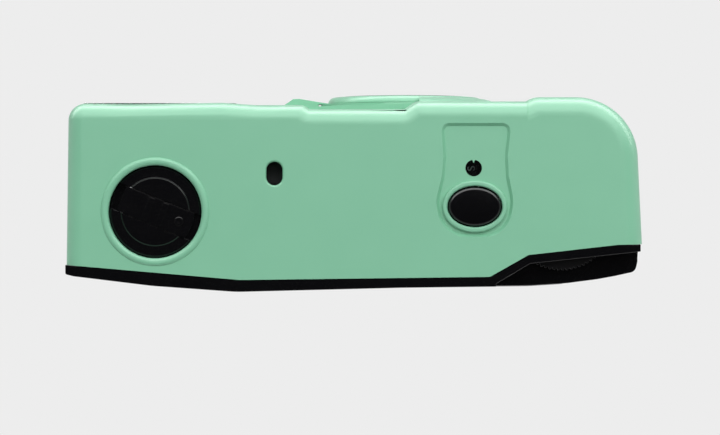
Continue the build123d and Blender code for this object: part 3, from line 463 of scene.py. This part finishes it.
def cad_mesh(node):
    """Clean copy of a CAD node's mesh: welded, with flat areas as single faces."""
    source = frame["nodes"][node].data
    mesh = bpy.data.meshes.new(node + "_skin")
    mesh.from_pydata([v.co for v in source.vertices], [], [p.vertices[:] for p in source.polygons])
    work = bmesh.new()
    work.from_mesh(mesh)
    bmesh.ops.remove_doubles(work, verts=work.verts, dist=0.004 * MM)
    bmesh.ops.dissolve_limit(work, angle_limit=math.radians(0.5), verts=work.verts, edges=work.edges)
    bmesh.ops.recalc_face_normals(work, faces=work.faces)
    work.to_mesh(mesh)
    work.free()
    return mesh


def skin(node, width, segments=2, angle=34.0, material=None):
    """Finished mesh that stands for a CAD node, with rounded edges."""
    obj = add_object(node + "_body", cad_mesh(node), node, material)
    soften(obj, width, segments, angle)
    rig.replaces(obj, node)
    return obj


def mesh_from(name, points, faces):
    mesh = bpy.data.meshes.new(name)
    mesh.from_pydata(points, [], faces)
    work = bmesh.new()
    work.from_mesh(mesh)
    bmesh.ops.remove_doubles(work, verts=work.verts, dist=1e-7)
    bmesh.ops.recalc_face_normals(work, faces=work.faces)
    work.to_mesh(mesh)
    work.free()
    return mesh


def lathe_mesh(name, centre, axis, profile, steps=96):
    """Closed solid of revolution. The profile is (radius, height) pairs along the axis."""
    axis = Vector(axis).normalized()
    side = axis.orthogonal().normalized()
    other = axis.cross(side)
    points = []
    for step in range(steps):
        angle = 2 * math.pi * step / steps
        outward = side * math.cos(angle) + other * math.sin(angle)
        for radius, height in profile:
            points.append(Vector(centre) + outward * radius + axis * height)
    count = len(profile)
    faces = []
    for step in range(steps):
        here = step * count
        there = (step + 1) % steps * count
        for index in range(count):
            following = (index + 1) % count
            faces.append((here + index, there + index, there + following, here + following))
    return mesh_from(name, points, faces)


def quarter_turn(steps, first=1):
    """Angles of a quarter circle in equal steps, from step first to the last."""
    return [math.radians(90 * step / steps) for step in range(first, steps + 1)]


def rounded_rectangle_point(u, v, width, height, corner):
    """Point of the square from -1 to 1, drawn into a rectangle with rounded corners."""
    x, z = u * width / 2, v * height / 2
    core_x, core_z = width / 2 - corner, height / 2 - corner
    over_x, over_z = max(abs(x) - core_x, 0.0), max(abs(z) - core_z, 0.0)
    reach = math.hypot(over_x, over_z)
    if reach > 0:
        longest = max(over_x, over_z)
        x = math.copysign(min(abs(x), core_x) + over_x * longest / reach, x)
        z = math.copysign(min(abs(z), core_z) + over_z * longest / reach, z)
    return x, z


def two_layer_mesh(name, columns, rows, point_at):
    """Closed slab of two grids joined at the border. point_at(layer, u, v) gives its points,
    for u and v from -1 to 1, layer 0 being the outer face."""
    points, faces = [], []
    for layer in (0, 1):
        for row in range(rows + 1):
            for column in range(columns + 1):
                points.append(point_at(layer, 2 * column / columns - 1, 2 * row / rows - 1))
    stride = columns + 1
    layer_size = stride * (rows + 1)
    for layer in (0, 1):
        for row in range(rows):
            for column in range(columns):
                a = layer * layer_size + row * stride + column
                faces.append((a, a + 1, a + stride + 1, a + stride))
    border = list(range(columns))
    border += [row * stride + columns for row in range(rows)]
    border += [rows * stride + column for column in range(columns, 0, -1)]
    border += [row * stride for row in range(rows, 0, -1)]
    for index, a in enumerate(border):
        b = border[(index + 1) % len(border)]
        faces.append((a, b, b + layer_size, a + layer_size))
    return mesh_from(name, points, faces)


def centre_of(node):
    low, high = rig.box(node)
    return (low + high) / 2


# ---- carried-over CAD nodes ---------------------------------------------------------
PLAIN_EDGES = {
    "front_shell": 0.12, "rear_frame": 0.35, "back_door": 0.25, "chassis": 0.12,
    "door_latch": 0.15, "battery_door": 0.2, "rewind_knob": 0.07, "rewind_crank": 0.14,
    "rewind_fork": 0.25, "rewind_washer": 0.15, "rewind_sleeve": 0.2,
    "take_up_spool": 0.2, "film_sprocket": 0.12, "film_roller": 0.2, "advance_wheel": 0.06,
    "pressure_plate": 0.12, "release_lever": 0.12, "shutter_blade": 0.04, "pawl": 0.1,
    "shutter_plate": 0.06, "shutter_cover": 0.06, "aperture_plate": 0.05, "flash_reflector": 0.15,
    "finder_tunnel": 0.1, "tripod_bush": 0.15, "hinge_pin": 0.1, "battery_contact_plate": 0.06,
    "indicator_wheel": 0.1, "counter_disc": 0.1, "rewind_release_button": 0.2,
    "ready_lamp": 0.1, "flash_capacitor": 0.3, "trigger_transformer": 0.2, "circuit_board": 0.12,
    "shell_screws": 0.06, "chassis_screws": 0.06, "battery": 0.3, "flash_switch_contacts": 0.05,
    "lens_retainer": 0.05, "cassette_spring": 0.05, "pressure_spring": 0.05, "latch_spring": 0.05,
    "lever_spring": 0.04, "shutter_spring": 0.04, "lever_pin": 0.08, "crank_pin": 0.06,
    "battery_contact_spring": 0.08, "door_light_seal": 0.2, "flash_tube": 0.3, "rear_lens": 0.03,
    "counter_window": 0.04, "flash_ring": 0.15,
}


def make_skins():
    """Finished meshes for the nodes whose CAD shape is right."""
    return {node: skin(node, width * MM) for node, width in PLAIN_EDGES.items()}


# ---- shutter button -----------------------------------------------------------------
BUTTON_STEPS = 96
BUTTON_SKIRT = 1.7 * MM
BUTTON_RIM_R = 0.62 * MM
BUTTON_CROWN = 0.28 * MM
BUTTON_STEM_R = 1.5 * MM


def oval_ring(centre, half_x, half_y, z):
    """Points of an oval, level at z."""
    points = []
    for step in range(BUTTON_STEPS):
        angle = 2 * math.pi * step / BUTTON_STEPS
        points.append((centre.x + half_x * math.cos(angle), centre.y + half_y * math.sin(angle), z))
    return points


def button_cap():
    """Crowned oval cap with a rolled rim."""
    low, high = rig.box("shutter_button")
    centre = (low + high) / 2
    half_x, half_y = (high.x - low.x) / 2, (high.y - low.y) / 2
    skirt_z = high.z - BUTTON_SKIRT
    rim_z = high.z - BUTTON_CROWN - BUTTON_RIM_R
    rings = [(skirt_z, 0.35 * MM), (skirt_z + 0.3 * MM, 0.0)]
    for angle in quarter_turn(6, first=0):
        rings.append((rim_z + BUTTON_RIM_R * math.sin(angle), BUTTON_RIM_R * (1 - math.cos(angle))))
    points = []
    for z, inset in rings:
        points += oval_ring(centre, half_x - inset, half_y - inset, z)
    shares = (0.8, 0.6, 0.4, 0.2)
    for share in shares:
        crown_x = (half_x - BUTTON_RIM_R) * share
        crown_y = (half_y - BUTTON_RIM_R) * share
        points += oval_ring(centre, crown_x, crown_y, high.z - BUTTON_CROWN * share ** 2)
    ring_count = len(rings) + len(shares)
    faces = []
    for ring in range(ring_count - 1):
        for step in range(BUTTON_STEPS):
            here = ring * BUTTON_STEPS + step
            following = ring * BUTTON_STEPS + (step + 1) % BUTTON_STEPS
            faces.append((here, following, following + BUTTON_STEPS, here + BUTTON_STEPS))
    faces.append(tuple(range(BUTTON_STEPS - 1, -1, -1)))
    faces.append(tuple((ring_count - 1) * BUTTON_STEPS + step for step in range(BUTTON_STEPS)))
    cap = add_object("shutter_button_cap", mesh_from("button_cap", points, faces), "shutter_button")
    soften(cap, 0)
    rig.replaces(cap, "shutter_button")


def button_stem():
    """Round stem that reaches up into the cap."""
    low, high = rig.box("shutter_button")
    centre = (low + high) / 2
    chamfer = 0.2 * MM
    top = high.z - BUTTON_SKIRT + 0.1 * MM
    profile = [
        (0, low.z), (BUTTON_STEM_R - chamfer, low.z), (BUTTON_STEM_R, low.z + chamfer),
        (BUTTON_STEM_R, top), (0, top),
    ]
    mesh = lathe_mesh("button_stem", (centre.x, centre.y, 0), (0, 0, 1), profile, steps=32)
    soften(add_object("shutter_button_stem", mesh, "shutter_button"), 0)


# ---- windows and lamps --------------------------------------------------------------
def plate_mesh(name, low, high, corner, crown, axis_sign, columns=24, rows=16, ripple=None):
    """Rounded-rectangle plate across Y, crowned towards axis_sign along Y.
    ripple(x) gives a height change of the front face, for moulded lens ribs."""
    centre = (low + high) / 2
    front_y, back_y = (low.y, high.y) if axis_sign < 0 else (high.y, low.y)

    def point_at(layer, u, v):
        x, z = rounded_rectangle_point(u, v, high.x - low.x, high.z - low.z, corner)
        y = back_y
        if layer == 0:
            dome = crown * (1 - (u * u + v * v) / 2)
            rib = ripple(x) if ripple and max(abs(u), abs(v)) < 0.95 else 0.0
            y = front_y + axis_sign * (dome - crown) - axis_sign * rib
        return centre.x + x, y, centre.z + z

    return two_layer_mesh(name, columns, rows, point_at)


def flash_window():
    """Clear flash window with upright moulded ribs that spread the light."""
    low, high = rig.box("flash_window")
    pitch = 1.1 * MM
    depth = 0.22 * MM

    def ribs(x):
        return depth * (0.5 - 0.5 * math.cos(2 * math.pi * x / pitch))

    mesh = plate_mesh("flash_window", low, high, 1.2 * MM, 0, -1, columns=216, rows=10, ripple=ribs)
    obj = add_object("flash_window_lens", mesh, "flash_window")
    soften(obj, 0.12 * MM, angle=60)
    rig.replaces(obj, "flash_window")


def finder_windows():
    """Front finder lens and rear eyepiece, each slightly domed."""
    for node, sign, crown in (("finder_front_lens", -1, 0.25 * MM), ("finder_eyepiece", 1, 0.3 * MM)):
        low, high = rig.box(node)
        mesh = plate_mesh(node, low, high, 0.6 * MM, crown, sign)
        obj = add_object(node + "_glass", mesh, node)
        soften(obj, 0.1 * MM, angle=60)
        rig.replaces(obj, node)


def ready_lamp_lens():
    """Domed lamp lens beside the eyepiece."""
    low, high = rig.box("ready_lamp_lens")
    centre = (low + high) / 2
    radius = (high.x - low.x) / 2
    length = high.y - low.y
    profile = [(0, 0), (radius, 0), (radius, 0.55 * length)]
    for angle in quarter_turn(7):
        profile.append((radius * math.cos(angle), length * (0.55 + 0.45 * math.sin(angle))))
    mesh = lathe_mesh("ready_lamp_lens", (centre.x, low.y, centre.z), (0, 1, 0), profile, steps=40)
    obj = add_object("ready_lamp_dome", mesh, "ready_lamp_lens")
    soften(obj, 0)
    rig.replaces(obj, "ready_lamp_lens")


# ---- taking lens --------------------------------------------------------------------
def lens_barrel():
    """Barrel with a stepped, ribbed hood that narrows to the glass."""
    low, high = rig.box("lens_barrel")
    centre = (low + high) / 2
    front, back = low.y, high.y
    lip = 0.5 * MM
    rounding = 0.25 * MM
    profile = [
        (BARREL_BORE_R - 0.6 * MM, front), (BARREL_R - rounding, front), (BARREL_R, front + rounding),
        (BARREL_R, front + lip), (BARREL_BORE_R, front + lip), (BARREL_BORE_R, FLANGE_FRONT),
        (FLANGE_R, FLANGE_FRONT), (FLANGE_R, FLANGE_BACK), (TAIL_R, FLANGE_BACK), (TAIL_R, back),
        (THROAT_R, back), (THROAT_R, LENS_SEAT_BACK), (LENS_SEAT_R, LENS_SEAT_BACK),
        (LENS_SEAT_R, LENS_SEAT_FRONT),
    ]
    for index in range(HOOD_STEPS):
        share = index / HOOD_STEPS
        radius = LENS_SEAT_R + rounding + (HOOD_MOUTH_R - LENS_SEAT_R) * share
        y = LENS_SEAT_FRONT - HOOD_DEPTH * share
        profile.append((radius, y))
        profile.append((radius + 0.12 * MM, y - HOOD_DEPTH / HOOD_STEPS))
    profile.append((HOOD_MOUTH_R + 0.2 * MM, front + 0.35 * MM))
    mesh = lathe_mesh("lens_barrel", (centre.x, 0, centre.z), (0, 1, 0), profile, steps=128)
    obj = add_object("lens_barrel_hood", mesh, "lens_barrel")
    soften(obj, 0.05 * MM, angle=40)
    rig.replaces(obj, "lens_barrel")


def front_lens():
    """Front element with a spherical face."""
    low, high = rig.box("front_lens")
    centre = (low + high) / 2
    radius = (high.x - low.x) / 2
    face_depth = 0.9 * MM
    sphere_r = (radius ** 2 + face_depth ** 2) / (2 * face_depth)
    profile = [(0, high.y), (radius, high.y), (radius, low.y + face_depth)]
    for step in range(1, 13):
        r = radius * (1 - step / 12)
        profile.append((r, low.y + sphere_r - math.sqrt(sphere_r ** 2 - r ** 2)))
    mesh = lathe_mesh("front_lens", (centre.x, 0, centre.z), (0, 1, 0), profile, steps=96)
    obj = add_object("front_lens_glass", mesh, "front_lens")
    soften(obj, 0)
    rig.replaces(obj, "front_lens")


# ---- film counter -------------------------------------------------------------------
def flat_text(name, body, size, place, turn, node):
    """Printed character lying on a dial."""
    curve = bpy.data.curves.new(name, "FONT")
    curve.body = body
    curve.size = size
    curve.align_x = "CENTER"
    curve.align_y = "CENTER"
    curve.extrude = 0.01 * MM
    curve.offset = 0.012 * size
    curve.materials.append(PALE_PRINT)
    obj = bpy.data.objects.new(name, curve)
    bpy.context.collection.objects.link(obj)
    obj.location = place
    obj.rotation_euler = (0, 0, turn)
    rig.ride(obj, BODY_OF[node])
    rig.slot(obj, SLOT_OF[node])
    return obj


def counter_print():
    """Start mark and frame numbers round the counter disc."""
    disc = centre_of("counter_disc")
    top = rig.box("counter_disc")[1].z + 0.012 * MM
    window = centre_of("counter_window")
    dx, dy = window.x - disc.x, window.y - disc.y
    ring_r = math.hypot(dx, dy) + 0.35 * MM
    start = math.atan2(dy, dx)
    marks = ["S"] + [str(number) for number in range(4, 76, 4)]
    step = 2 * math.pi / (len(marks) + 1)
    for index, mark in enumerate(marks):
        angle = start - index * step
        place = (disc.x + ring_r * math.cos(angle), disc.y + ring_r * math.sin(angle), top)
        size = 2.1 * MM if mark == "S" else 1.5 * MM
        flat_text(f"counter_mark_{mark}", mark, size, place, angle - math.pi / 2, "counter_disc")


# ---- rewind crank -------------------------------------------------------------------
def crank_handle():
    """Round foot of the folding handle, its spindle through the crank, and the riveted end on top."""
    low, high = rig.box("crank_handle")
    centre = (low + high) / 2
    foot_r = (high.x - low.x) / 2
    foot_top = low.z + 0.65 * MM
    foot_edge = 0.2 * MM
    spindle_r = 0.86 * MM
    head_z = high.z + 0.04 * MM
    profile = [
        (0, low.z), (foot_r - foot_edge, low.z), (foot_r, low.z + foot_edge), (foot_r, foot_top),
        (spindle_r, foot_top), (spindle_r, head_z),
    ]
    for angle in quarter_turn(5):
        rise = 0.1 * MM * math.sin(angle)
        profile.append((spindle_r * (0.6 + 0.4 * math.cos(angle)), head_z + rise))
    profile.append((0.3 * MM, head_z + 0.02 * MM))
    profile.append((0, head_z + 0.01 * MM))
    mesh = lathe_mesh("crank_handle", (centre.x, centre.y, 0), (0, 0, 1), profile, steps=48)
    obj = add_object("crank_handle_turned", mesh, "crank_handle")
    soften(obj, 0.03 * MM, angle=50)
    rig.replaces(obj, "crank_handle")


# ---- springs ------------------------------------------------------------------------
def compress_springs(skins):
    """Springs give way to the part that presses on them, as far as the part travels."""
    for node, joint, axis, held_end, share_left in (
        ("latch_spring", "latch_slide", (0, 0, 1), 0, 0.08),
        ("lever_spring", "shutter_press", (0, 0, 1), 0, 0.07),
        ("pressure_spring", "pressure_plate_slide", (0, 1, 0), 1, 0.7),
    ):
        anchor = tuple(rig.box(node)[held_end])
        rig.squash(skins[node], joint, axis=axis, anchor=anchor, keep=share_left)


# ---- back door ----------------------------------------------------------------------
def surface_y(tree, x, z):
    """Rearmost Y of a surface at (x, z)."""
    place = tree.ray_cast(Vector((x, 1.0, z)), Vector((0, -1, 0)))[0]
    return place.y


def door_panel(skins):
    """Grained covering let into the back door, with a rounded outline."""
    work = bmesh.new()
    work.from_mesh(skins["back_door"].data)
    tree = BVHTree.FromBMesh(work)
    low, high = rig.box("back_door")
    x0, x1 = low.x + 9.0 * MM, high.x - 4.0 * MM
    z0, z1 = low.z + 4.5 * MM, high.z - 4.5 * MM
    cx, cz = (x0 + x1) / 2, (z0 + z1) / 2
    corner = 3.5 * MM
    proud = 0.3 * MM
    sunk = -0.2 * MM

    def point_at(layer, u, v):
        x, z = rounded_rectangle_point(u, v, x1 - x0, z1 - z0, corner)
        edge = min(1.0, 12 * (1 - max(abs(u), abs(v))))
        lift = proud * math.sqrt(edge * (2 - edge)) if layer == 0 else sunk
        return cx + x, surface_y(tree, cx + x, cz + z) + lift, cz + z

    mesh = two_layer_mesh("door_panel", 96, 40, point_at)
    soften(add_object("back_door_covering", mesh, "back_door", LEATHERETTE), 0)
    work.free()


# ---- studio -------------------------------------------------------------------------
def floor():
    """Pale sweep under the camera. It glows evenly and takes no shade."""
    mesh = bpy.data.meshes.new("floor")
    corners = [(x * FLOOR_HALF_SIDE, y * FLOOR_HALF_SIDE, LOW.z - FLOOR_GAP)
               for x, y in ((-1, -1), (1, -1), (1, 1), (-1, 1))]
    mesh.from_pydata(corners, [], [(0, 1, 2, 3)])
    obj = bpy.data.objects.new("floor", mesh)
    bpy.context.collection.objects.link(obj)
    material = bpy.data.materials.new("floor_paper")
    material.use_nodes = True
    tree = material.node_tree
    glow = tree.nodes.new("ShaderNodeEmission")
    glow.inputs["Color"].default_value = (FLOOR_TONE, FLOOR_TONE, FLOOR_TONE, 1)
    tree.links.new(glow.outputs["Emission"], tree.nodes["Material Output"].inputs["Surface"])
    mesh.materials.append(material)
    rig.stage(obj)


def area_light(name, place, target, size, strength):
    """Soft rectangular light aimed at a point. Strength is its radiance."""
    light = bpy.data.lights.new(name, "AREA")
    light.shape = "RECTANGLE"
    light.size, light.size_y = size
    light.energy = strength * size[0] * size[1] * math.pi
    obj = bpy.data.objects.new(name, light)
    bpy.context.collection.objects.link(obj)
    obj.location = place
    obj.visible_camera = False
    direction = Vector(target) - Vector(place)
    obj.rotation_euler = direction.to_track_quat("-Z", "Y").to_euler()
    return obj


def sky():
    """Bright low surround that darkens overhead, as in a studio with a dark ceiling."""
    world = bpy.data.worlds.new("studio")
    bpy.context.scene.world = world
    world.use_nodes = True
    tree = world.node_tree
    place = tree.nodes.new("ShaderNodeTexCoord")
    split = tree.nodes.new("ShaderNodeSeparateXYZ")
    tree.links.new(place.outputs["Generated"], split.inputs["Vector"])
    tone = spread(tree, split.outputs["Z"], 0.5, 0.02, 0.3, 0.85)
    background = tree.nodes["Background"]
    tree.links.new(tone, background.inputs["Strength"])
    background.inputs["Color"].default_value = (1, 1, 1, 1)


def strip(name, y, radiance):
    """Upright light that stays below the camera's top plate, facing it from y."""
    middle = HIGH.z / 2
    return area_light(name, (0, y, middle), (0, 0, middle), (STRIP_LENGTH, HIGH.z), radiance)


def studio():
    """Strips and a card shine only in the gloss. The soft light from above lights only the
    surfaces, so that glossy black stays black from above."""
    floor()
    sky()
    target = (0, 0, HIGH.z)
    glossy_lights = (
        strip("front_strip", -STRIP_DISTANCE, FRONT_STRIP_LIGHT),
        area_light("front_card", CARD_PLACE, target, CARD_SIZE, FRONT_CARD_LIGHT),
        strip("rear_strip", STRIP_DISTANCE, REAR_STRIP_LIGHT),
    )
    for light in glossy_lights:
        light.visible_diffuse = False
        light.visible_transmission = False
    top = area_light("top_softbox", SOFTBOX_PLACE, target, SOFTBOX_SIZE, TOP_LIGHT)
    top.visible_glossy = False
    top.visible_transmission = False


def camera():
    """Camera straight above the top plate, with the lens side up in the picture."""
    data = bpy.data.cameras.new("camera")
    data.sensor_width = SENSOR
    data.lens = SENSOR * CAMERA_HEIGHT / VIEW_WIDTH
    data.clip_start = 0.05
    data.clip_end = 20.0
    obj = bpy.data.objects.new("camera", data)
    bpy.context.collection.objects.link(obj)
    place = Matrix.Translation((*CAMERA_CENTRE, HIGH.z - 1.0 * MM + CAMERA_HEIGHT))
    obj.matrix_world = place @ Matrix.Rotation(math.pi, 4, "Z")
    bpy.context.scene.camera = obj


def build():
    skins = make_skins()
    button_cap()
    button_stem()
    flash_window()
    finder_windows()
    ready_lamp_lens()
    lens_barrel()
    front_lens()
    counter_print()
    crank_handle()
    door_panel(skins)
    compress_springs(skins)
    camera()
    studio()
    bpy.context.scene.view_settings.view_transform = "Standard"
    bpy.context.scene.view_settings.look = "None"


build()
with open("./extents.json", "w") as file:
    json.dump({"cad": [list(v) for v in CAD_BOX], "visual": [list(v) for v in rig.bounds()]}, file)
